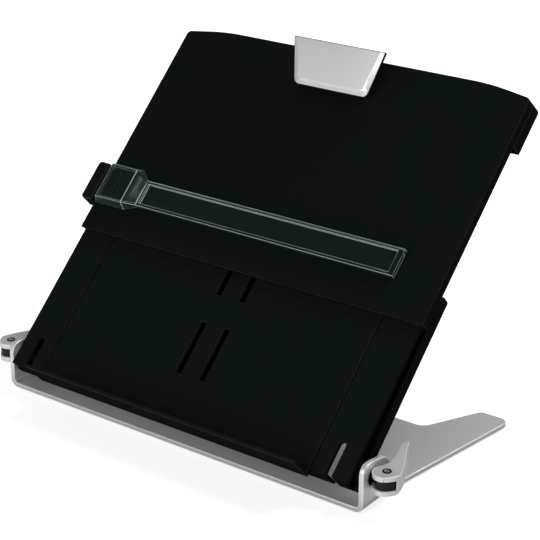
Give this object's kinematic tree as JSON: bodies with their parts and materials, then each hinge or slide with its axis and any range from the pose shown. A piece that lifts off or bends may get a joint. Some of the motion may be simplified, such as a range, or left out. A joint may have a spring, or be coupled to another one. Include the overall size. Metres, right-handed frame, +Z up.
{
  "type": "copy holder",
  "caption": "Desk copy holder: leaning black board that slides and tilts on a bent metal base, with side cam levers, a top paper clip, a front ledge and a clear sliding line guide.",
  "frame": {"origin": "on the desk, under the centre of the whole object's plan box", "axes": "+X to the user's right, +Y away from the user, +Z up"},
  "size_m": [0.3864, 0.274, 0.2687],
  "materials": {
    "satin_metal": "satin, fine powder",
    "black_plastic": "fine moulded grain",
    "clear_plastic": "polished, clear",
    "silver_face": "fine satin, bevelled edge",
    "rubber": "matt",
    "steel": "turned",
    "dark_steel": "blackened",
    "bush_plastic": "natural acetal"
  },
  "bodies": {
    "base": {"base_bracket": "satin_metal", "foot_pad_front_left": "rubber", "foot_pad_front_right": "rubber", "foot_pad_rear_left": "rubber", "foot_pad_rear_right": "rubber", "left_clamp_stud": "steel", "right_clamp_stud": "steel", "left_clamp_barrel": "dark_steel", "right_clamp_barrel": "dark_steel", "left_clamp_washer": "black_plastic", "right_clamp_washer": "black_plastic", "left_friction_washer": "bush_plastic", "right_friction_washer": "bush_plastic"},
    "left_lever": {"left_cam_lever": "satin_metal", "left_lever_pin": "dark_steel"},
    "right_lever": {"right_cam_lever": "satin_metal", "right_lever_pin": "dark_steel"},
    "easel": {"rear_tray": "black_plastic", "left_front_strip": "black_plastic", "right_front_strip": "black_plastic", "centre_panel": "black_plastic", "left_pivot_bush": "bush_plastic", "right_pivot_bush": "bush_plastic", "tray_screw_1": "steel", "tray_screw_2": "steel", "tray_screw_3": "steel", "tray_screw_4": "steel", "tray_screw_5": "steel", "tray_screw_6": "steel"},
    "board": {"board_shell": "black_plastic", "hood": "black_plastic", "hood_screw_1": "steel", "hood_screw_2": "steel", "clip_bracket": "black_plastic", "clip_screw_1": "steel", "clip_screw_2": "steel", "clip_pin": "steel", "clip_spring": "steel"},
    "clip": {"clip_face": "silver_face", "clip_lever": "black_plastic", "jaw_pad": "rubber"},
    "guide": {"guide_block": "black_plastic", "guide_arm": "clear_plastic"}
  },
  "joints": [
    {"name": "easel_tilt", "type": "hinge", "parent": "base", "child": "easel", "pos_m": [0, -0.09795, 0.02675], "axis": [1, 0, 0], "range_deg": [-12, 33]},
    {"name": "board_slide", "type": "slide", "parent": "easel", "child": "board", "axis": [0, 0.7325, 0.6807], "range_m": [-0.1205, 0]},
    {"name": "guide_slide", "type": "slide", "parent": "board", "child": "guide", "axis": [0, 0.7325, 0.6807], "range_m": [0, 0.105]},
    {"name": "clip_hinge", "type": "hinge", "parent": "board", "child": "clip", "pos_m": [0, 0.10504, 0.24866], "axis": [-1, 0, 0], "range_deg": [0, 25], "stiffness_Nm_per_rad": 0.12, "springref_deg": -34.38},
    {"name": "left_lever_release", "type": "hinge", "parent": "base", "child": "left_lever", "pos_m": [-0.1827, -0.09795, 0.02675], "axis": [0, 0, 1], "range_deg": [0, 90]},
    {"name": "right_lever_release", "type": "hinge", "parent": "base", "child": "right_lever", "pos_m": [0.1827, -0.09795, 0.02675], "axis": [0, 0, -1], "range_deg": [0, 90]}
  ]
}
